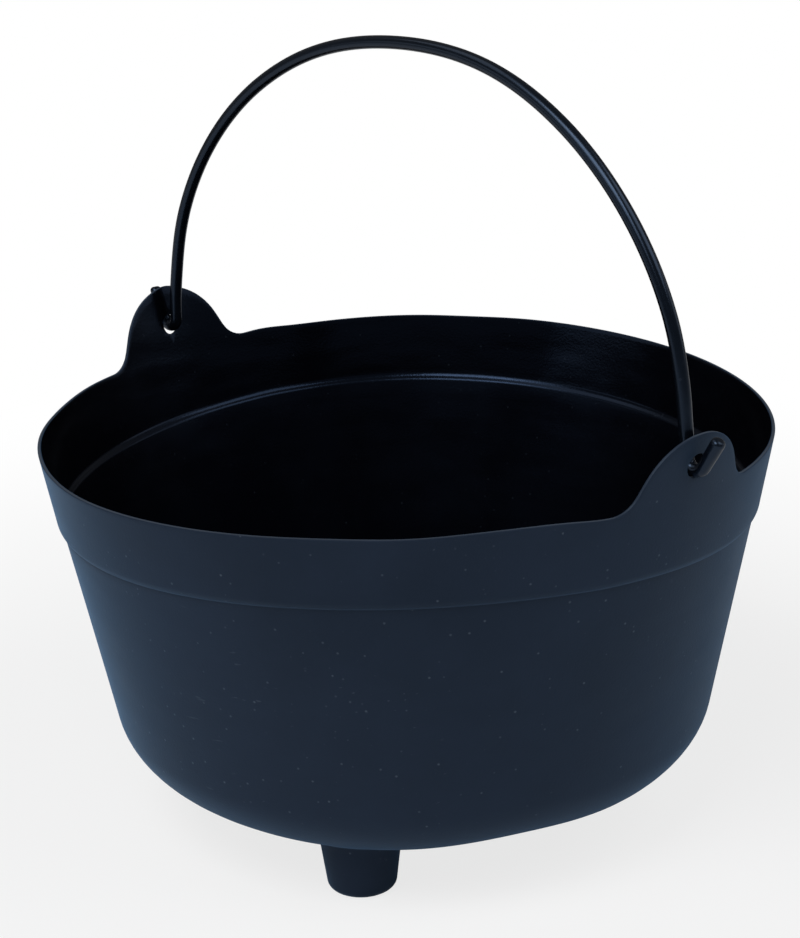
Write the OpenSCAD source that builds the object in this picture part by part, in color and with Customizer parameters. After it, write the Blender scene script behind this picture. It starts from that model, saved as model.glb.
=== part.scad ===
// Three-legged cauldron: thin one-piece moulded pot with a swinging bail hooked through its two ears.
// +Z is up and the origin is the centre of the floor under the three feet. The ears lie on the X axis.

/* [Pot] */
// outer diameter over the rim
rim_d = 340; // [300:1:400]
// depth from the rim down to the underside of the bottom
body_depth = 162.5; // [140:0.5:200]
// wall thickness, the same all over
wall = 1.6; // [1.4:0.1:3]
// radius lost for each millimetre of depth
wall_taper = 0.2; // [0.1:0.01:0.25]
// radius of the round corner between wall and bottom
corner_r = 34; // [20:1:45]

/* [Step under the rim band] */
// depth from the rim to the upper edge of the step
band_depth = 29.9; // [20:0.1:45]
// height of the sloping face of the step
step_h = 3.3; // [2:0.1:6]
// how far the wall below the step sits inside the line of the band
step_in = 1.3; // [0.5:0.1:2.5]

/* [Feet] */
// height of the feet below the bottom
foot_h = 29.5; // [15:0.5:40]
// radius of the circle on which the feet stand
foot_circle_r = 98; // [85:1:106]
// angle of the first foot round the pot, from the right-hand ear, in degrees
foot_angle = 60; // [0:5:120]
// diameter of a foot where its side would meet the floor
foot_d = 30.8; // [24:0.2:34]
// radius gained for each millimetre of height
foot_taper = 0.12; // [0.05:0.01:0.2]
// radius of the round lower edge of a foot
foot_edge_r = 4.2; // [2.2:0.1:6]

/* [Ears] */
// height of an ear above the rim
ear_h = 30; // [27:0.5:40]
// half of the short straight top of an ear
ear_flat = 1; // [0:0.5:10]
// radius of the wide round top on both sides of that
ear_corner_r = 31; // [12:0.5:33]
// lean of the two sides from the vertical, in degrees
ear_side_angle = 27; // [20:1:40]
// radius of the hollow curve between ear and rim
ear_fillet_r = 12; // [8:0.5:20]
// diameter of the hole for the bail
hole_d = 11.5; // [10.5:0.1:13]
// height of that hole above the rim
hole_up = 15; // [14.5:0.1:16]

/* [Bail] */
// diameter of the round rod
rod_d = 6; // [5:0.1:6.4]
// clearance between the rod's side and the inside of the ear
leg_gap = 1.6; // [1.5:0.1:2.2]
// height of the pivot line above the rim
pivot_up = 12.5; // [12.3:0.1:13]
// radius of the rod's centre line in the tight turn through the hole
turn_r = 4.75; // [4.6:0.05:5.2]
// lean of the hook's outer leg from the vertical, in degrees
hook_splay = 30.6; // [28:0.2:35]
// straight length of the hook's outer leg
hook_len = 15.3; // [8:0.1:20]
// straight length of the leg above the turn
leg_len = 3.7; // [1:0.1:10]
// radius of the shoulder arc
shoulder_r = 145.7; // [120:0.1:150]
// sweep of the shoulder arc, in degrees
shoulder_sweep = 58.4; // [50:0.1:65]
// how far the raised bail leans back from upright, towards +Y, in degrees
bail_lean = 1.7; // [0:0.1:5]

/* [Hidden] */
$fn = 96;
// straight steps in the round corner of the bottom and in the smaller round edges
corner_steps = 18;
edge_steps = 10;
foot_count = 3;
// cutting shapes run this far past what they cut
over = 1;
rim_r = rim_d / 2;
rim_z = foot_h + body_depth;
lean = atan(wall_taper);
taper_cos = cos(lean);
// pot profile: step edges, then the centre of the bottom corner
step_top = [rim_r - wall_taper * band_depth, rim_z - band_depth];
step_low = [step_top[0] - wall_taper * step_h - step_in, step_top[1] - step_h];
corner_z = foot_h + corner_r;
corner_x = step_low[0] - wall_taper * (step_low[1] - corner_z) - corner_r / taper_cos;
// outward normals of the wall, of the step and of the bottom
wall_n = [cos(lean), -sin(lean)];
step_n = unit([step_h, step_low[0] - step_top[0]]);
// ear outline, measured from the rim
ear_line = ear_flat * cos(ear_side_angle) + (ear_h - ear_corner_r) * sin(ear_side_angle) + ear_corner_r;
ear_foot = (ear_line + ear_fillet_r * (1 - sin(ear_side_angle))) / cos(ear_side_angle);
ear_root = 2;
// bail: pivot line, legs and arcs in the plane y = 0
rod_r = rod_d / 2;
pivot_z = rim_z + pivot_up;
leg_x = rim_r + wall_taper * pivot_up - wall / taper_cos - leg_gap - rod_r;
turn_z = pivot_z + turn_r;
turn_sweep = 180 - hook_splay;
hook_start = [leg_x + turn_r * (1 + cos(hook_splay)), turn_z - turn_r * sin(hook_splay)];
hook_chamfer = 0.5;
shoulder_z = turn_z + leg_len;
shoulder_end = [
    leg_x - shoulder_r * (1 - cos(shoulder_sweep)),
    shoulder_z + shoulder_r * sin(shoulder_sweep)
];
crown_r = shoulder_end[0] / cos(shoulder_sweep);
crown_z = shoulder_end[1] - crown_r * sin(shoulder_sweep);
// the rod swells by this much where two of its bends meet, which joins them into one solid
bend_swell = 0.02;

function unit(v) = v / norm(v);
// points along a round edge, from one angle to another
function arc(centre, r, from, to, steps) =
    [for (i = [0 : steps]) let (a = from + (to - from) * i / steps) centre + r * [cos(a), sin(a)]];
// the same outline on the other side of the Z axis, in reverse order
function mirrored(points) = [for (i = [len(points) - 1 : -1 : 0]) [-points[i][0], points[i][1]]];
// the point on the inner face behind a profile corner that lies between two outward normals
function behind(p, n1, n2) = p - wall * (n1 + n2) / (1 + n1 * n2);

// the full outer shape of the pot, carried up to the top of the ears
module body_outer() {
    top = ear_h + over;
    rotate_extrude()
        polygon(concat(
            [[0, foot_h]],
            arc([corner_x, corner_z], corner_r, -90, -lean, corner_steps),
            [step_low, step_top, [rim_r + wall_taper * top, rim_z + top], [0, rim_z + top]]
        ));
}

// the hollow of the pot, one wall thickness inside the outer shape
module body_inner() {
    top = ear_h + 2 * over;
    rotate_extrude()
        polygon(concat(
            [[0, foot_h + wall]],
            arc([corner_x, corner_z], corner_r - wall, -90, -lean, corner_steps),
            [behind(step_low, wall_n, step_n), behind(step_top, wall_n, step_n)],
            [[rim_r + wall_taper * top - wall / taper_cos, rim_z + top], [0, rim_z + top]]
        ));
}

// one foot: a tapered cup with a round lower edge; inset 0 gives its outside, wall its hollow
module foot_shape(inset, top) {
    side = atan(foot_taper);
    edge_x = foot_d / 2 + foot_taper * foot_edge_r - foot_edge_r / cos(side);
    rotate_extrude()
        polygon(concat(
            [[0, inset]],
            arc([edge_x, foot_edge_r], foot_edge_r - inset, -90, -side, edge_steps),
            [[foot_d / 2 + foot_taper * top - inset / cos(side), top], [0, top]]
        ));
}

module feet(inset, top) {
    for (i = [0 : foot_count - 1])
        rotate([0, 0, foot_angle + i * 360 / foot_count])
            translate([foot_circle_r, 0, 0]) foot_shape(inset, top);
}

// the outline of an ear seen along X: hollow curves out of the rim, sloping sides and a wide round top
module ear_outline() {
    side = concat(
        [[ear_foot, -ear_root]],
        arc([ear_foot, ear_fillet_r], ear_fillet_r, 270, 180 + ear_side_angle, edge_steps),
        arc([ear_flat, ear_h - ear_corner_r], ear_corner_r, ear_side_angle, 90, edge_steps)
    );
    polygon(concat(side, mirrored(side)));
}

// everything below the rim plane, and the two ears above it
module kept_region() {
    reach = rim_r + ear_h;
    cylinder(h = rim_z, r = reach);
    translate([0, 0, rim_z]) rotate([90, 0, 90])
        linear_extrude(height = 2 * reach, center = true) ear_outline();
}

// the whole pot is one moulding: wall, step, bottom, hollow feet and ears
module pot() {
    color([0.24, 0.29, 0.35])
    difference() {
        intersection() {
            union() {
                body_outer();
                feet(0, foot_h + corner_r / 2);
            }
            kept_region();
        }
        body_inner();
        feet(wall, foot_h + corner_r / 2 + wall);
        translate([0, 0, rim_z + hole_up]) rotate([0, 90, 0])
            cylinder(h = 2 * (rim_r + ear_h), d = hole_d, center = true);
    }
}

// a piece of bent rod in the plane y = 0: centre of the bend, start angle, sweep and bend radius
module bent_rod(centre, start, sweep, bend_r) {
    translate([centre[0], 0, centre[1]]) rotate([90, 0, 0]) rotate([0, 0, start])
        rotate_extrude(angle = sweep) translate([bend_r, 0]) circle(r = rod_r);
}

// the rod's round end-to-end joint between two bends
module bend_joint(at) {
    translate([at[0], 0, at[1]]) sphere(r = rod_r + bend_swell);
}

// the right-hand leg: shoulder arc, short straight, tight turn through the ear's hole, splayed outer leg
module bail_leg() {
    bent_rod([leg_x - shoulder_r, shoulder_z], 0, shoulder_sweep, shoulder_r);
    translate([leg_x, 0, turn_z]) cylinder(h = leg_len, r = rod_r);
    bent_rod([leg_x + turn_r, turn_z], 180, turn_sweep, turn_r);
    bend_joint(shoulder_end);
    bend_joint(hook_start);
    translate([hook_start[0], 0, hook_start[1]]) rotate([0, hook_splay, 0]) {
        cylinder(h = hook_len - hook_chamfer, r = rod_r);
        translate([0, 0, hook_len - hook_chamfer])
            cylinder(h = hook_chamfer, r1 = rod_r, r2 = rod_r - hook_chamfer);
    }
}

// the bail is one rod: a crown arc and two equal legs that end in open hooks
module bail() {
    color([0.12, 0.14, 0.17])
    translate([0, 0, pivot_z]) rotate([-bail_lean, 0, 0]) translate([0, 0, -pivot_z])
    union() {
        bent_rod([0, crown_z], shoulder_sweep, 180 - 2 * shoulder_sweep, crown_r);
        bail_leg();
        mirror([1, 0, 0]) bail_leg();
    }
}

pot();
bail();
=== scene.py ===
import math

import bmesh
import bpy
from mathutils import Matrix, Vector


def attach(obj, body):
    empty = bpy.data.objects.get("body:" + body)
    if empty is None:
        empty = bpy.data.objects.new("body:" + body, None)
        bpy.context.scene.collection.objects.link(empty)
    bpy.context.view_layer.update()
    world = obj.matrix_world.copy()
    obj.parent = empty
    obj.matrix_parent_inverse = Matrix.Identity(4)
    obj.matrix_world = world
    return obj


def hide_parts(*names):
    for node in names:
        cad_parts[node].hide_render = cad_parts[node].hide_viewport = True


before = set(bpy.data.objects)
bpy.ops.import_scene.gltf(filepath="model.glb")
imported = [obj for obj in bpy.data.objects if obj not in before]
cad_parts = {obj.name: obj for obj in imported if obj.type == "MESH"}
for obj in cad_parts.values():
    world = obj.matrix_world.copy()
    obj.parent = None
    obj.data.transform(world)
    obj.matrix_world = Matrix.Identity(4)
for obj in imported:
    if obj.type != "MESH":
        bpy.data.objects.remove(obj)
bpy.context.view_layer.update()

# Camera
# A long lens looks down a little into the mouth of the pot. The line through the two ears runs from the
# far left to the near right of the view, and the camera is tipped very slightly to one side.
rim_height = 0.192
view_azimuth = math.radians(46.0)
view_elevation = math.radians(17.47)
view_roll = math.radians(-1.66)
view_distance = 1.12442
aim_right = -0.00326
aim_up = -0.02483
lens_mm = 92.83

mouth_centre = Vector((0, 0, rim_height))
back = Vector((
    math.sin(view_azimuth) * math.cos(view_elevation),
    -math.cos(view_azimuth) * math.cos(view_elevation),
    math.sin(view_elevation),
))
across = Vector((math.cos(view_azimuth), math.sin(view_azimuth), 0))
eye = mouth_centre + view_distance * back
target = mouth_centre + aim_right * across + aim_up * back.cross(across)
forward = (target - eye).normalized()
level_right = forward.cross(Vector((0, 0, 1))).normalized()
level_up = level_right.cross(forward)
camera_right = math.cos(view_roll) * level_right + math.sin(view_roll) * level_up
camera_up = math.cos(view_roll) * level_up - math.sin(view_roll) * level_right

camera = bpy.data.objects.new("camera", bpy.data.cameras.new("camera"))
bpy.context.scene.collection.objects.link(camera)
camera.matrix_world = Matrix.Translation(eye) @ Matrix((camera_right, camera_up, -forward)).transposed().to_4x4()
camera.data.lens = lens_mm
camera.data.clip_end = 20
bpy.context.scene.camera = camera

# Pot
# One thin moulding of blue-black plastic: flat bottom, round corner, tapering wall, a small sloping step
# under a plain rim band, two pierced ears carried up from that band, and three hollow feet. The outer
# skin is shaped first, and the wall gets its thickness from it at the end.
rim_r = 0.170
wall = 0.0016
wall_taper = 0.2
band_taper = 0.19
bottom_z = 0.0295
corner_r = 0.034
step_low = (0.16212, 0.1596)
step_top = (0.16417, 0.1613)
step_low_r = 0.0007
step_top_r = 0.0050
columns = 360
column_crowding = 0.3
corner_rows = 16
step_low_rows = 5
step_top_rows = 8
bottom_cuts = 17
wall_cuts = 13
band_cuts = 13


def wall_line(z):
    """Radius of the outer face of the rim band, and of the ears above it, at a height."""
    return rim_r - band_taper * (rim_height - z)


def link_piece(name, mesh, body, node, materials):
    """Makes the finished mesh a piece that stands for a CAD node and moves with its body."""
    for material in materials:
        mesh.materials.append(material)
    piece = bpy.data.objects.new(name, mesh)
    bpy.context.scene.collection.objects.link(piece)
    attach(piece, body)
    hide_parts(node)
    return piece


def round_corner(shape, vert, radius, turn, rows):
    """Rounds one corner of a wire outline to a radius; turn is the angle that the outline turns there."""
    bmesh.ops.bevel(
        shape, geom=[vert], offset=radius * math.tan(turn / 2), offset_type="OFFSET",
        affect="VERTICES", segments=rows, profile=0.5, material=-1,
    )


def edge_between(shape, low, high):
    """The straight edge of a wire outline whose two ends lie within a box of radius and height."""
    for edge in shape.edges:
        if all(low[0] <= v.co.x <= high[0] and low[1] <= v.co.z <= high[1] for v in edge.verts):
            yield edge


lean = math.atan(wall_taper)
step_lean = math.atan((step_top[0] - step_low[0]) / (step_top[1] - step_low[1]))
skin = bmesh.new()
corner_out = step_low[0] - wall_taper * (step_low[1] - bottom_z)
outline = [(0, bottom_z), (corner_out, bottom_z), step_low, step_top, (rim_r, rim_height)]
profile = [skin.verts.new((r, 0, z)) for r, z in outline]
for pair in zip(profile, profile[1:]):
    skin.edges.new(pair)
round_corner(skin, profile[1], corner_r, math.pi / 2 - lean, corner_rows)
round_corner(skin, profile[2], step_low_r, step_lean - lean, step_low_rows)
round_corner(skin, profile[3], step_top_r, step_lean - math.atan(band_taper), step_top_rows)
corner_x = corner_out - corner_r * math.tan((math.pi / 2 - lean) / 2)
corner_z = bottom_z + corner_r
long_edges = [
    (bottom_cuts, list(edge_between(skin, (-1, 0), (corner_x + 0.0001, bottom_z + 0.0001)))),
    (wall_cuts, list(edge_between(skin, (corner_x, corner_z - 0.01), (step_low[0], step_low[1])))),
    (band_cuts, list(edge_between(skin, (step_top[0], step_top[1]), (1, 1)))),
]
for cuts, edges in long_edges:
    longest = max(edges, key=lambda e: e.calc_length())
    bmesh.ops.subdivide_edges(skin, edges=[longest], cuts=cuts)
bmesh.ops.spin(
    skin, geom=skin.verts[:] + skin.edges[:], cent=(0, 0, 0), axis=(0, 0, 1),
    angle=2 * math.pi, steps=columns, use_merge=True,
)
bmesh.ops.remove_doubles(skin, verts=skin.verts, dist=0.00001)
for vert in skin.verts:
    turn = math.atan2(vert.co.y, vert.co.x)
    crowded = turn - column_crowding * math.sin(2 * turn)
    radius = math.hypot(vert.co.x, vert.co.y)
    vert.co.x = radius * math.cos(crowded)
    vert.co.y = radius * math.sin(crowded)

# Ears
# Each ear is the rim band carried up: hollow curves out of the rim, sloping sides and a round top. The
# rows of the band are drawn up to that outline, so that the skin stays one sheet on the wall's own cone.
ear_rise = 0.030
ear_flat = 0.001
ear_corner_r = 0.031
ear_side_angle = math.radians(27)
ear_fillet_r = 0.013
band_base = 0.166
ear_line = (
    ear_flat * math.cos(ear_side_angle) + (ear_rise - ear_corner_r) * math.sin(ear_side_angle) + ear_corner_r
)
ear_foot = (ear_line + ear_fillet_r * (1 - math.sin(ear_side_angle))) / math.cos(ear_side_angle)


def ear_outline(y):
    """Height of the ear's edge above the rim at a distance y from the ear's middle."""
    away = abs(y)
    if away >= ear_foot:
        return 0
    if away >= ear_foot - ear_fillet_r * math.cos(ear_side_angle):
        return ear_fillet_r - math.sqrt(ear_fillet_r ** 2 - (ear_foot - away) ** 2)
    if away > ear_flat + ear_corner_r * math.cos(ear_side_angle):
        return (ear_line - away * math.cos(ear_side_angle)) / math.sin(ear_side_angle)
    return ear_rise - ear_corner_r + math.sqrt(ear_corner_r ** 2 - max(away - ear_flat, 0) ** 2)


for vert in skin.verts:
    if vert.co.z > band_base:
        turn = math.atan2(vert.co.y, vert.co.x)
        rise = 0
        for attempt in range(4):
            rise = ear_outline(wall_line(rim_height + rise) * math.sin(turn))
        share = (vert.co.z - band_base) / (rim_height - band_base)
        vert.co.z = band_base + share * (rim_height - band_base + rise)
        vert.co.x = wall_line(vert.co.z) * math.cos(turn)
        vert.co.y = wall_line(vert.co.z) * math.sin(turn)

# Holes in the ears
# One round hole in the middle of each ear takes the hook of the bail; the left one is tighter. Its ring
# of points lies on the wall's own cone, and the skin is filled up to it.
hole_sizes = {-1: (0.0044, 0.0129), 1: (0.00575, 0.0150)}
hole_points = 40
hole_margin = 0.0009


def open_skin(near, spare):
    """Takes away the faces of the skin that come near a ring and returns the edges left open there."""
    gone = [f for f in skin.faces if any(near(v.co) < spare for v in f.verts)]
    rim_of_gap = {e for f in gone for e in f.edges if any(g not in gone for g in e.link_faces)}
    bmesh.ops.delete(skin, geom=gone, context="FACES")
    return [e for e in rim_of_gap if e.is_valid]


def fill_to_ring(gap, ring, normal):
    """Closes the skin between the edges of a gap and a ring of edges inside it."""
    filled = bmesh.ops.triangle_fill(skin, edges=gap + ring, use_beauty=True, normal=normal)
    faces = [g for g in filled["geom"] if isinstance(g, bmesh.types.BMFace)]
    bmesh.ops.join_triangles(skin, faces=faces, angle_face_threshold=0.3, angle_shape_threshold=0.9)


for side in (-1, 1):
    hole_r, hole_up = hole_sizes[side]
    hole_z = rim_height + hole_up
    gap = open_skin(
        lambda co: math.hypot(co.y, co.z - hole_z) if co.x * side > 0 else 1,
        hole_r + hole_margin,
    )
    facing_out = Matrix.Translation((0, 0, hole_z)) @ Matrix.Rotation(math.pi / 2, 4, "Y")
    ring = bmesh.ops.create_circle(skin, segments=hole_points, radius=hole_r, matrix=facing_out)["verts"]
    for vert in ring:
        vert.co.x = side * math.sqrt(wall_line(vert.co.z) ** 2 - vert.co.y ** 2)
    fill_to_ring(gap, list({e for v in ring for e in v.link_edges}), (side, 0, 0))

# Feet
# Three hollow cups, open into the pot, stand on a circle under the bottom. Each has a small taper, a round
# lower edge and a narrow hollow curve where it leaves the bottom.
foot_circle_r = 0.098
foot_r = 0.0154
foot_taper = 0.12
foot_edge_r = 0.0042
foot_edge_rows = 6
foot_root_r = 0.0018
foot_root_rows = 3
foot_skirt = 0.004
foot_columns = 72
foot_cuts = 6
first_foot = math.radians(61)


def bottom_height(r):
    """Height of the outer skin of the bottom and its round corner at a distance from the pot's axis."""
    return corner_z - math.sqrt(corner_r ** 2 - max(r - corner_x, 0) ** 2)


foot_top_r = foot_r + foot_taper * bottom_z
foot_turn = math.pi / 2 - math.atan(foot_taper)
for number in range(3):
    turn = first_foot + number * 2 * math.pi / 3
    centre = Vector((foot_circle_r * math.cos(turn), foot_circle_r * math.sin(turn), 0))
    skirt_r = foot_top_r + foot_skirt
    gap = open_skin(
        lambda co: (co.xy - centre.xy).length if co.z < corner_z else 1,
        skirt_r + hole_margin,
    )
    foot = bmesh.new()
    foot_outline = [(0, 0), (foot_r, 0), (foot_top_r, bottom_z), (skirt_r, bottom_z)]
    points = [foot.verts.new((r, 0, z)) for r, z in foot_outline]
    for pair in zip(points, points[1:]):
        foot.edges.new(pair)
    round_corner(foot, points[1], foot_edge_r, foot_turn, foot_edge_rows)
    round_corner(foot, points[2], foot_root_r, foot_turn, foot_root_rows)
    bmesh.ops.subdivide_edges(foot, edges=[max(foot.edges, key=lambda e: e.calc_length())], cuts=foot_cuts)
    bmesh.ops.spin(
        foot, geom=foot.verts[:] + foot.edges[:], cent=(0, 0, 0), axis=(0, 0, 1),
        angle=2 * math.pi, steps=foot_columns, use_merge=True,
    )
    bmesh.ops.remove_doubles(foot, verts=foot.verts, dist=0.00001)
    bmesh.ops.translate(foot, verts=foot.verts, vec=centre)
    for vert in foot.verts:
        share = min(max((vert.co.z / bottom_z - 0.5) * 2, 0), 1)
        vert.co.z += share * (bottom_height(vert.co.xy.length) - bottom_z)
    cup = bpy.data.meshes.new("foot_cup")
    foot.to_mesh(cup)
    foot.free()
    known = set(skin.verts)
    skin.from_mesh(cup)
    bpy.data.meshes.remove(cup)
    ring = [e for e in skin.edges if e.is_boundary and e.verts[0] not in known]
    fill_to_ring(gap, ring, (0, 0, -1))

# Set of the thin wall
# Out of the mould a wall this thin warps: the mouth is a little saddle-shaped, the bottom sags beside the
# feet, the lower wall bulges slightly to one side, and the bail has pulled the left ear up. Each wave of the
# rim is given by its number of crests, its height and the angle of a crest.
rim_waves = [(1, 0.0005, 56), (2, 0.0027, -45), (3, 0.0005, -24), (4, 0.0004, -34)]
rim_drop = 0.0003
waves_end = 0.06
ear_growth = {-1: 0.09, 1: -0.06}
ear_slant = {-1: -0.9, 1: 0.5}
ear_pull = {-1: 0.0012, 1: 0}
ear_pull_width = 0.007
bottom_sag = 0.0014
# places where the bottom or the rim lies lower or higher than that: angle, depth and half width
bottom_lobes = [(303, 0.0008, 20), (338, -0.0022, 15), (250, -0.0004, 20)]
rim_lobes = [
    (295, 0.0008, 50), (254, 0.0012, 18), (316, 0.0010, 9), (345, 0.0016, 6),
    (218, 0.0007, 10), (202, -0.0005, 7), (162, -0.0012, 5), (124, 0.0006, 8),
]
band_swell = 0.00045
body_swell = 0.0004
body_shift_angle = math.radians(46)
# the step slides down along the wall, least at the front and back: its mean, its wave and that wave's crest
step_slide = -0.0030
step_slide_wave = 0.0027
step_slide_crest = math.radians(-44)
slide_from = (0.100, 0.157)
slide_to = (0.164, 0.186)


def eased(value, start, end):
    """A share that goes softly from 0 at the start to 1 at the end."""
    share = min(max((value - start) / (end - start), 0), 1)
    return share * share * (3 - 2 * share)


def lobes_at(turn, lobes):
    """How much lower the wall lies at an angle round the pot because of a few soft lobes."""
    sink = 0
    for angle, depth, half_width in lobes:
        away = math.remainder(turn - math.radians(angle), 2 * math.pi)
        sink += depth * math.exp(-(away / math.radians(half_width)) ** 2)
    return sink


bmesh.ops.remove_doubles(skin, verts=skin.verts, dist=0.00001)
below_step = skin.verts.layers.float.new("below_step")
for vert in skin.verts:
    turn = math.atan2(vert.co.y, vert.co.x)
    side = -1 if vert.co.x < 0 else 1
    vert[below_step] = 1 - eased(vert.co.z, step_low[1], step_top[1])
    share = min(max((vert.co.z - waves_end) / (rim_height - waves_end), 0), 1)
    rim_wave = sum(h * math.cos(k * (turn - math.radians(crest))) for k, h, crest in rim_waves)
    above_rim = max(vert.co.z - rim_height, 0)
    slide = eased(vert.co.z, *slide_from) * (1 - eased(vert.co.z, *slide_to))
    slide *= step_slide + step_slide_wave * math.cos(2 * (turn - step_slide_crest))
    low = min(max((waves_end - vert.co.z) / (waves_end - bottom_z), 0), 1)
    outward = min(vert.co.xy.length / corner_x, 1)
    sag = bottom_sag + outward ** 3 * lobes_at(turn, bottom_lobes)
    on_floor = min(vert.co.z / bottom_z, 1)
    under_rim = min(max((rim_height - vert.co.z) / (rim_height - step_top[1]), 0), 1)
    under_step = min(max((step_low[1] - vert.co.z) / (step_low[1] - waves_end), 0), 1)
    swell = band_swell * under_rim + body_swell * under_step * (1 + math.cos(turn - body_shift_angle))
    vert.co.xy *= 1 + on_floor * swell / rim_r
    vert.co.z += share ** 2 * (rim_wave - rim_drop) - on_floor * low * sag
    vert.co.z -= share ** 6 * lobes_at(turn, rim_lobes)
    vert.co.xy *= 1 + wall_taper * slide / vert.co.xy.length if slide else 1
    vert.co.z += slide + above_rim * (ear_growth[side] + ear_slant[side] * vert.co.y)
    vert.co.z += above_rim / ear_rise * ear_pull[side] * math.exp(-(vert.co.y / ear_pull_width) ** 2)

bmesh.ops.recalc_face_normals(skin, faces=skin.faces)
lowest = min(skin.faces, key=lambda f: f.calc_center_median().z)
if lowest.normal.z > 0:
    bmesh.ops.reverse_faces(skin, faces=skin.faces)
for face in skin.faces:
    face.smooth = True

# Plastic of the pot
# Carbon-black polypropylene with a blue cast. The outside is matt from the mould's etched face, with dust, pale nibs
# and light scuffs from handling; the inside came off a polished core and is glossier.
# The inside is the same plastic but is given a near-black colour as painted shade for the deep hollow, and the cut
# faces of the rim a lighter colour as a painted highlight.
outside_colour = (0.0156, 0.0234, 0.0412, 1)
# painted shade: the inside is the same plastic as the outside, given a far darker colour for the dim hollow
inside_shaded_colour = (0.0012, 0.0013, 0.0024, 1)
speck_colour = (0.090, 0.115, 0.150, 1)
rough_above = 0.13
rough_below = 0.20
# painted highlight: a lighter colour for the cut faces of the rim, the ear tops and the holes
rim_highlight_colour = (0.045, 0.058, 0.081, 1)


def node_of(tree, kind, place, **values):
    """Adds a node, sets its own options and the plain values of its inputs."""
    made = tree.nodes.new(kind)
    made.location = place
    for name, value in values.items():
        if name in made.inputs:
            made.inputs[name].default_value = value
        elif name.replace("_", " ") in made.inputs:
            made.inputs[name.replace("_", " ")].default_value = value
        else:
            setattr(made, name, value)
    return made


def ramp(tree, place, low, high):
    """A smooth mask that is 0 below low and 1 above high."""
    made = node_of(tree, "ShaderNodeMapRange", place, interpolation_type="SMOOTHSTEP")
    made.inputs["From Min"].default_value = low
    made.inputs["From Max"].default_value = high
    return made


def math_node(tree, operation, place, second=None):
    made = node_of(tree, "ShaderNodeMath", place, operation=operation)
    if second is not None:
        made.inputs[1].default_value = second
    return made


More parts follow.
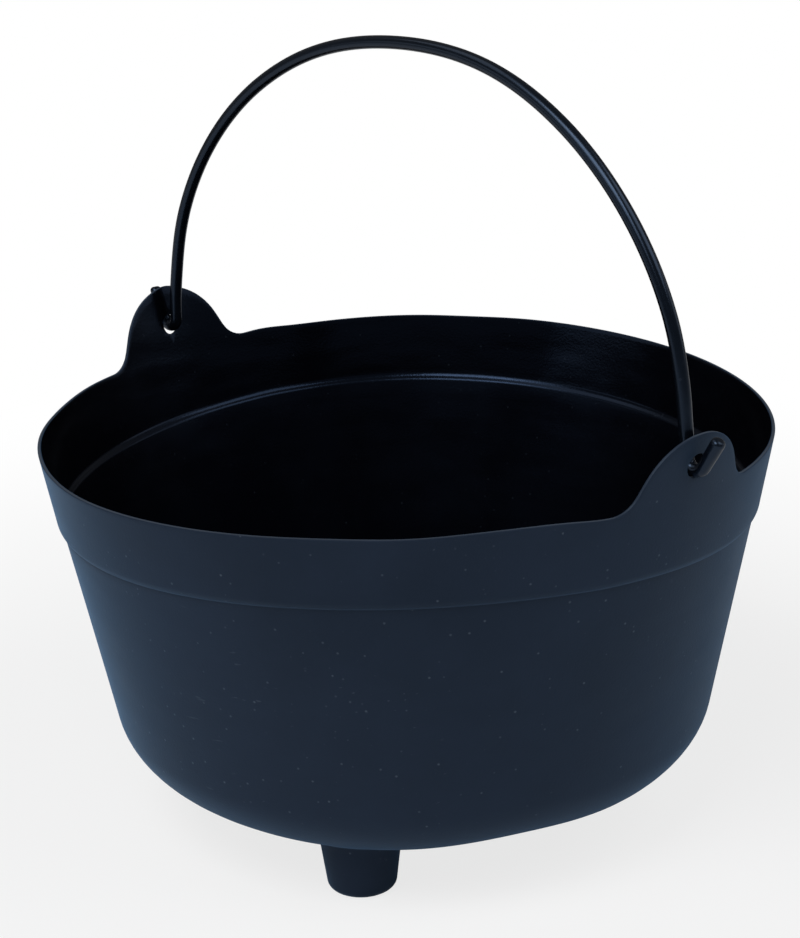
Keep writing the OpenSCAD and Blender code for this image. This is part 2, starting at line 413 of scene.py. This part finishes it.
def moulded_plastic_group():
    """Shared finish of the mouldings: soft clouding, pale nibs, scuffs and the grain of the mould."""
    group = bpy.data.node_groups.new("moulded_plastic", "ShaderNodeTree")
    sockets = [
        ("Vector", "NodeSocketVector"), ("Colour", "NodeSocketColor"), ("Speck Colour", "NodeSocketColor"),
        ("Specks", "NodeSocketFloat"), ("Scuffs", "NodeSocketFloat"), ("Roughness", "NodeSocketFloat"),
        ("Grain", "NodeSocketFloat"), ("Waves", "NodeSocketFloat"),
    ]
    for name, kind in sockets:
        group.interface.new_socket(name=name, in_out="INPUT", socket_type=kind)
    for name, kind in (("Colour", "NodeSocketColor"), ("Roughness", "NodeSocketFloat"), ("Height", "NodeSocketFloat")):
        group.interface.new_socket(name=name, in_out="OUTPUT", socket_type=kind)
    link = group.links.new
    come = group.nodes.new("NodeGroupInput")
    go = group.nodes.new("NodeGroupOutput")
    come.location = (-1400, 0)
    go.location = (900, 0)

    clouds = node_of(group, "ShaderNodeTexNoise", (-1100, 500), Scale=11.0, Detail=4.0, Roughness=0.6)
    cloud_mask = ramp(group, (-900, 500), 0.3, 0.7)
    cloud_level = node_of(group, "ShaderNodeMapRange", (-700, 500))
    cloud_level.inputs["To Min"].default_value = 0.88
    cloud_level.inputs["To Max"].default_value = 1.14
    clouded = node_of(group, "ShaderNodeVectorMath", (-450, 450), operation="SCALE")

    specks = node_of(group, "ShaderNodeTexVoronoi", (-1100, 150), Scale=230.0, Randomness=1.0)
    speck_near = ramp(group, (-900, 200), 0.17, 0.06)
    speck_pick = node_of(group, "ShaderNodeSeparateColor", (-900, 0))
    speck_some = ramp(group, (-700, 0), 0.60, 1.0)
    speck_mask = math_node(group, "MULTIPLY", (-500, 150))
    speck_amount = math_node(group, "MULTIPLY", (-300, 150))

    turned = node_of(group, "ShaderNodeMapping", (-1300, -350))
    turned.inputs["Rotation"].default_value = (0.5, 0.9, 0.4)
    turned.inputs["Scale"].default_value = (24, 420, 420)
    scratches = node_of(group, "ShaderNodeTexNoise", (-1100, -350), Scale=1.0, Detail=2.0)
    scratch_mask = ramp(group, (-900, -350), 0.69, 0.76)
    patches = node_of(group, "ShaderNodeTexNoise", (-1100, -600), Scale=17.0, Detail=2.0)
    patch_mask = ramp(group, (-900, -600), 0.5, 0.72)
    scratch_here = math_node(group, "MULTIPLY", (-700, -450))
    scratch_amount = math_node(group, "MULTIPLY", (-500, -450))

    marks = math_node(group, "MAXIMUM", (-100, 0))
    tinted = node_of(group, "ShaderNodeMix", (150, 300), data_type="RGBA")
    rough_up = math_node(group, "MULTIPLY_ADD", (200, 0), 0.12)
    grain = node_of(group, "ShaderNodeTexNoise", (-300, -700), Scale=900.0, Detail=3.0)
    flattened = node_of(group, "ShaderNodeMapping", (-500, -950))
    flattened.inputs["Scale"].default_value = (1, 1, 2.6)
    waves = node_of(group, "ShaderNodeTexNoise", (-300, -950), Scale=20.0, Detail=1.5)
    grain_part = math_node(group, "MULTIPLY", (0, -700))
    height = math_node(group, "MULTIPLY_ADD", (300, -600))

    for texture in (clouds, specks, patches, grain, flattened, turned):
        link(come.outputs["Vector"], texture.inputs["Vector"])
    link(turned.outputs["Vector"], scratches.inputs["Vector"])
    link(clouds.outputs["Fac"], cloud_mask.inputs["Value"])
    link(cloud_mask.outputs["Result"], cloud_level.inputs["Value"])
    link(come.outputs["Colour"], clouded.inputs[0])
    link(cloud_level.outputs["Result"], clouded.inputs["Scale"])
    link(specks.outputs["Distance"], speck_near.inputs["Value"])
    link(specks.outputs["Color"], speck_pick.inputs["Color"])
    link(speck_pick.outputs["Red"], speck_some.inputs["Value"])
    link(speck_near.outputs["Result"], speck_mask.inputs[0])
    link(speck_some.outputs["Result"], speck_mask.inputs[1])
    link(speck_mask.outputs["Value"], speck_amount.inputs[0])
    link(come.outputs["Specks"], speck_amount.inputs[1])
    link(scratches.outputs["Fac"], scratch_mask.inputs["Value"])
    link(patches.outputs["Fac"], patch_mask.inputs["Value"])
    link(scratch_mask.outputs["Result"], scratch_here.inputs[0])
    link(patch_mask.outputs["Result"], scratch_here.inputs[1])
    link(scratch_here.outputs["Value"], scratch_amount.inputs[0])
    link(come.outputs["Scuffs"], scratch_amount.inputs[1])
    link(speck_amount.outputs["Value"], marks.inputs[0])
    link(scratch_amount.outputs["Value"], marks.inputs[1])
    link(marks.outputs["Value"], tinted.inputs["Factor"])
    link(clouded.outputs["Vector"], tinted.inputs["A"])
    link(come.outputs["Speck Colour"], tinted.inputs["B"])
    link(tinted.outputs["Result"], go.inputs["Colour"])
    link(cloud_mask.outputs["Result"], rough_up.inputs[0])
    link(come.outputs["Roughness"], rough_up.inputs[2])
    link(rough_up.outputs["Value"], go.inputs["Roughness"])
    link(grain.outputs["Fac"], grain_part.inputs[0])
    link(come.outputs["Grain"], grain_part.inputs[1])
    link(flattened.outputs["Vector"], waves.inputs["Vector"])
    link(waves.outputs["Fac"], height.inputs[0])
    link(come.outputs["Waves"], height.inputs[1])
    link(grain_part.outputs["Value"], height.inputs[2])
    link(height.outputs["Value"], go.inputs["Height"])
    return group


plastic_group = moulded_plastic_group()


def plastic(name, bump, finish_values, shader_values):
    """A moulded plastic: the shared finish with its own values, and the shader's constant numbers."""
    material = bpy.data.materials.new(name)
    material.use_nodes = True
    tree = material.node_tree
    shader = tree.nodes["Principled BSDF"]
    place = node_of(tree, "ShaderNodeTexCoord", (-900, 0))
    finish = node_of(tree, "ShaderNodeGroup", (-600, 0), node_tree=plastic_group)
    relief = node_of(tree, "ShaderNodeBump", (-300, -300), Strength=1.0, Distance=bump)
    for socket, value in finish_values.items():
        finish.inputs[socket].default_value = value
    for socket, value in shader_values.items():
        shader.inputs[socket].default_value = value
    tree.links.new(place.outputs["Object"], finish.inputs["Vector"])
    tree.links.new(finish.outputs["Colour"], shader.inputs["Base Color"])
    tree.links.new(finish.outputs["Roughness"], shader.inputs["Roughness"])
    tree.links.new(finish.outputs["Height"], relief.inputs["Height"])
    tree.links.new(relief.outputs["Normal"], shader.inputs["Normal"])
    return material


pot_outside = plastic(
    "pot_outside", 0.00006,
    {"Colour": outside_colour, "Speck Colour": speck_colour, "Specks": 0.7, "Scuffs": 0.35,
     "Roughness": 0.50, "Grain": 1.0, "Waves": 6.0},
    {"Specular IOR Level": 0.10, "Specular Tint": (0.5, 0.75, 1.0, 1),
     "Sheen Weight": 0.34, "Sheen Roughness": 0.4, "Sheen Tint": (0.28, 0.58, 1.0, 1)},
)
# The inside's colour is painted shade, a near-black version of the outside's plastic for the dim hollow; its gloss is
# its own.
pot_inside = plastic(
    "pot_inside", 0.00010,
    {"Colour": inside_shaded_colour, "Speck Colour": speck_colour, "Specks": 0.1, "Scuffs": 0.02,
     "Grain": 0.5, "Waves": 5.0},
    {"Specular IOR Level": 0.36, "Specular Tint": (0.34, 0.55, 1.0, 1)},
)
# The wall's cut faces are painted a lighter colour as a highlight along the rim; their gloss is their own.
pot_rim_highlight = plastic(
    "pot_rim_highlight", 0.00006,
    {"Colour": rim_highlight_colour, "Speck Colour": speck_colour, "Specks": 0.3, "Scuffs": 0.3,
     "Roughness": 0.38, "Grain": 1.0, "Waves": 1.0},
    {"Specular IOR Level": 0.5, "Specular Tint": (0.6, 0.8, 1.0, 1)},
)
tree = pot_inside.node_tree
height_mark = node_of(tree, "ShaderNodeAttribute", (-1000, -200), attribute_name="below_step")
duller_below = math_node(tree, "MULTIPLY_ADD", (-800, -200), rough_below - rough_above)
duller_below.inputs[2].default_value = rough_above
finish = next(n for n in tree.nodes if n.bl_idname == "ShaderNodeGroup")
tree.links.new(height_mark.outputs["Fac"], duller_below.inputs[0])
tree.links.new(duller_below.outputs["Value"], finish.inputs["Roughness"])
# Painted highlight: the cut faces show the outside's colour where they face the view and the lighter colour where they
# are seen slanting.
tree = pot_rim_highlight.node_tree
slant = node_of(tree, "ShaderNodeLayerWeight", (-1300, 0), Blend=0.5)
slant_highlight_mask = ramp(tree, (-1100, 0), 0.35, 0.62)
slant_highlight_mix = node_of(tree, "ShaderNodeMix", (-850, 0), data_type="RGBA")
slant_highlight_mix.inputs["A"].default_value = outside_colour
slant_highlight_mix.inputs["B"].default_value = rim_highlight_colour
finish = next(n for n in tree.nodes if n.bl_idname == "ShaderNodeGroup")
tree.links.new(slant.outputs["Facing"], slant_highlight_mask.inputs["Value"])
tree.links.new(slant_highlight_mask.outputs["Result"], slant_highlight_mix.inputs["Factor"])
tree.links.new(slant_highlight_mix.outputs["Result"], finish.inputs["Colour"])

pot_mesh = bpy.data.meshes.new("pot_shell")
skin.to_mesh(pot_mesh)
skin.free()
pot_materials = [pot_outside, pot_inside, pot_rim_highlight]
pot_shell = link_piece("pot_shell", pot_mesh, "pot", "pot", pot_materials)
thickness = pot_shell.modifiers.new("wall", "SOLIDIFY")
thickness.thickness = wall
thickness.offset = -1
thickness.use_even_offset = True
thickness.material_offset = 1
# the cut faces of the wall take the third material, with its painted rim highlight
thickness.material_offset_rim = 2
edge_round = pot_shell.modifiers.new("edges", "BEVEL")
edge_round.width = 0.00035
edge_round.segments = 3
edge_round.material = 0
edge_round.limit_method = "ANGLE"
edge_round.angle_limit = math.radians(50)

# Bail
# One round rod, black and smooth: a wide crown, two legs, and at each end a tight turn out through the
# ear's hole that finishes in a short straight leg with a blunt end.
rod_r = 0.003
rod_sides = 32
rod_end_round = 0.0020
pivot_z = 0.2045
bail_lean = math.radians(-1.7)
leg_x = 0.166268
turn_r = 0.00475
turn_z = 0.20925
hook_splay = math.radians(30.6)
hook_len = 0.0153
leg_len = 0.0037
shoulder_r = 0.1457
shoulder_sweep = math.radians(58.4)
crown_rows = 26
shoulder_rows = 44
turn_rows = 22
# the rod isn't bent quite true: its crown is higher to the right of the middle than to the left and a
# little flat on top, its left shoulder is drawn in, the left hook is a trifle longer and the right one
# lies further out in its wider hole
bail_wave = 0.0010
bail_wave_half = 0.13
crown_wave = 0.0005
crown_wave_centre = 0.245
shoulder_draw = 0.0004
shoulder_draw_at = 0.2345
shoulder_draw_half = 0.012
hook_push = 0.0014
hook_push_from = (0.2045, 0.228)
hook_pull = 0.30
hook_pull_from = 0.1745
rod_swell = 0.0002
rod_swell_by = 0.1

shoulder_x = leg_x - shoulder_r
shoulder_z = turn_z + leg_len
crown_sweep = math.pi / 2 - shoulder_sweep
crown_end = Vector((
    shoulder_x + shoulder_r * math.cos(shoulder_sweep), 0, shoulder_z + shoulder_r * math.sin(shoulder_sweep)
))
crown_r = crown_end.x / math.cos(shoulder_sweep)
crown_z = crown_end.z - crown_r * math.sin(shoulder_sweep)

rod = bmesh.new()
facing_across = Matrix.Translation((0, 0, crown_z + crown_r)) @ Matrix.Rotation(math.pi / 2, 4, "Y")
loop = list({
    e for v in bmesh.ops.create_circle(rod, segments=rod_sides, radius=rod_r, matrix=facing_across)["verts"]
    for e in v.link_edges
})


def bend(loop, centre_x, centre_z, sweep, rows):
    """Carries the open end of the rod on round a bend and returns the new open end."""
    made = bmesh.ops.spin(
        rod, geom=loop + list({v for e in loop for v in e.verts}), cent=(centre_x, 0, centre_z),
        axis=(0, 1, 0), angle=sweep, steps=rows, use_merge=False, use_duplicate=False,
    )
    return [g for g in made["geom_last"] if isinstance(g, bmesh.types.BMEdge)]


def run_on(loop, step):
    """Carries the open end of the rod straight on and returns the new open end."""
    made = bmesh.ops.extrude_edge_only(rod, edges=loop)["geom"]
    bmesh.ops.translate(rod, verts=[g for g in made if isinstance(g, bmesh.types.BMVert)], vec=step)
    return [g for g in made if isinstance(g, bmesh.types.BMEdge) and g.is_boundary]


loop = bend(loop, 0, crown_z, crown_sweep, crown_rows)
loop = bend(loop, shoulder_x, shoulder_z, shoulder_sweep, shoulder_rows)
loop = run_on(loop, Vector((0, 0, -leg_len)))
loop = bend(loop, leg_x + turn_r, turn_z, hook_splay - math.pi, turn_rows)
hook_way = Vector((math.sin(hook_splay), 0, math.cos(hook_splay)))
loop = run_on(loop, hook_len * hook_way)
end_face = bmesh.ops.edgeloop_fill(rod, edges=loop)["faces"]
bmesh.ops.bevel(
    rod, geom=list({e for f in end_face for e in f.edges}), offset=rod_end_round, offset_type="OFFSET",
    affect="EDGES", segments=6, profile=0.5, material=-1,
)
bmesh.ops.mirror(rod, geom=rod.verts[:] + rod.edges[:] + rod.faces[:], axis="X", merge_dist=0.00001)
bmesh.ops.remove_doubles(rod, verts=rod.verts, dist=0.00001)
bmesh.ops.recalc_face_normals(rod, faces=rod.faces)
rod.normal_update()
for vert in rod.verts:
    above_turn = min(max((vert.co.z - turn_z) / 0.01, 0), 1)
    vert.co += vert.normal * rod_swell * above_turn * min(max(vert.co.x / rod_swell_by, 0), 1)
    way = Vector((vert.co.x, 0, vert.co.z - crown_wave_centre))
    turn = math.atan2(way.x, way.z)
    fade = min(max((vert.co.z - crown_wave_centre) / 0.02, 0), 1)
    vert.co -= fade * crown_wave * math.cos(6 * turn) * way.normalized()
    vert.co.z += bail_wave * math.sin(math.pi * vert.co.x / bail_wave_half)
    vert.co.z += hook_pull * max(-vert.co.x - hook_pull_from, 0)
    draw = shoulder_draw * math.exp(-((vert.co.z - shoulder_draw_at) / shoulder_draw_half) ** 2)
    vert.co.x += draw if vert.co.x < 0 else 0
    if vert.co.x > 0:
        in_hook = vert.co.x > leg_x + turn_r
        vert.co.x += hook_push * (1 if in_hook else 1 - eased(vert.co.z, *hook_push_from))
bmesh.ops.rotate(
    rod, verts=rod.verts, cent=(0, 0, pivot_z), matrix=Matrix.Rotation(bail_lean, 3, "X"),
)
for face in rod.faces:
    face.smooth = len(face.verts) < rod_sides

bail_colour = (0.0018, 0.0028, 0.0050, 1)
bail_black = plastic(
    "bail_black", 0.00003,
    {"Colour": bail_colour, "Speck Colour": speck_colour, "Specks": 0.1, "Scuffs": 0.05,
     "Roughness": 0.17, "Grain": 0.4, "Waves": 1.0},
    {"Specular IOR Level": 0.55, "Specular Tint": (0.44, 0.64, 1.0, 1)},
)
bail_mesh = bpy.data.meshes.new("bail_rod")
rod.to_mesh(bail_mesh)
rod.free()
bail_rod = link_piece("bail_rod", bail_mesh, "bail", "bail", [bail_black])

# Studio
# A plain white floor that runs out of sight, in a dim room with six soft lamps: a large one with a brighter
# middle high on the camera's left, one high on the right, one high at the left back and a weak low one on
# each side. Only rays from the camera see the room itself as white: nothing here is metal or glass, and
# black plastic needs a dim room to mirror.
floor_half = 6.0
floor_white = (0.86, 0.87, 0.88, 1)
floor_near = 0.22
floor_far = 0.70
white_near = 0.78
room_light = 0.13
floor_bmesh = bmesh.new()
bmesh.ops.create_grid(floor_bmesh, x_segments=1, y_segments=1, size=floor_half)
floor_mesh = bpy.data.meshes.new("floor")
floor_bmesh.to_mesh(floor_mesh)
floor_bmesh.free()
floor = bpy.data.objects.new("floor", floor_mesh)
bpy.context.scene.collection.objects.link(floor)

paper = bpy.data.materials.new("pale_floor")
paper.use_nodes = True
tree = paper.node_tree
matt = tree.nodes["Principled BSDF"]
matt.inputs["Base Color"].default_value = floor_white
matt.inputs["Roughness"].default_value = 0.9
matt.inputs["Specular IOR Level"].default_value = 0.0
plain = node_of(tree, "ShaderNodeEmission", (0, 200), Color=(1, 1, 1, 1), Strength=1.0)
ray = node_of(tree, "ShaderNodeLightPath", (-400, 500))
spot = node_of(tree, "ShaderNodeTexCoord", (-1000, 300))
from_pot = node_of(tree, "ShaderNodeVectorMath", (-800, 300), operation="LENGTH")
share = ramp(tree, (-600, 300), floor_near, floor_far)
share.inputs["To Min"].default_value = white_near
seen = math_node(tree, "MULTIPLY", (-200, 400))
mix = node_of(tree, "ShaderNodeMixShader", (250, 100))
tree.links.new(spot.outputs["Object"], from_pot.inputs[0])
tree.links.new(from_pot.outputs["Value"], share.inputs["Value"])
tree.links.new(ray.outputs["Is Camera Ray"], seen.inputs[0])
tree.links.new(share.outputs["Result"], seen.inputs[1])
tree.links.new(seen.outputs["Value"], mix.inputs["Fac"])
tree.links.new(matt.outputs["BSDF"], mix.inputs[1])
tree.links.new(plain.outputs["Emission"], mix.inputs[2])
tree.links.new(mix.outputs["Shader"], tree.nodes["Material Output"].inputs["Surface"])
floor_mesh.materials.append(paper)

world = bpy.data.worlds.new("studio")
bpy.context.scene.world = world
world.use_nodes = True
tree = world.node_tree
around = tree.nodes["Background"]
around.inputs["Color"].default_value = (1, 1, 1, 1)
around.inputs["Strength"].default_value = room_light
white = node_of(tree, "ShaderNodeBackground", (0, 300), Color=(1, 1, 1, 1), Strength=1.0)
ray = node_of(tree, "ShaderNodeLightPath", (-300, 400))
mix = node_of(tree, "ShaderNodeMixShader", (250, 200))
tree.links.new(ray.outputs["Is Camera Ray"], mix.inputs["Fac"])
tree.links.new(around.outputs["Background"], mix.inputs[1])
tree.links.new(white.outputs["Background"], mix.inputs[2])
tree.links.new(mix.outputs["Shader"], tree.nodes["World Output"].inputs["Surface"])


def soft_lamp(name, to_right, elevation, distance, width, height, level):
    """A softbox that looks at the pot, turned to the right of the camera; level is its own brightness."""
    turn = view_azimuth + math.radians(to_right)
    rise = math.radians(elevation)
    way = Vector((math.sin(turn) * math.cos(rise), -math.cos(turn) * math.cos(rise), math.sin(rise)))
    lamp = bpy.data.objects.new(name, bpy.data.lights.new(name, "AREA"))
    lamp.data.shape = "RECTANGLE"
    lamp.data.size = width
    lamp.data.size_y = height
    lamp.data.energy = math.pi * width * height * level
    lamp.location = mouth_centre + distance * way
    lamp.rotation_euler = (-way).to_track_quat("-Z", "Y").to_euler()
    bpy.context.scene.collection.objects.link(lamp)


soft_lamp("key_softbox", -35, 46, 2.0, 1.5, 1.3, 1.75)
soft_lamp("key_middle", -29, 51, 2.0, 1.05, 0.85, 3.7)
soft_lamp("right_softbox", 68, 46, 2.0, 1.4, 1.1, 1.7)
soft_lamp("low_left_softbox", -74, 11, 2.0, 1.5, 0.6, 0.5)
soft_lamp("low_right_softbox", 95, 14, 2.0, 1.2, 0.7, 0.6)
soft_lamp("left_back_softbox", -100, 60, 2.0, 1.1, 1.1, 0.8)
bpy.context.scene.view_settings.view_transform = "Standard"
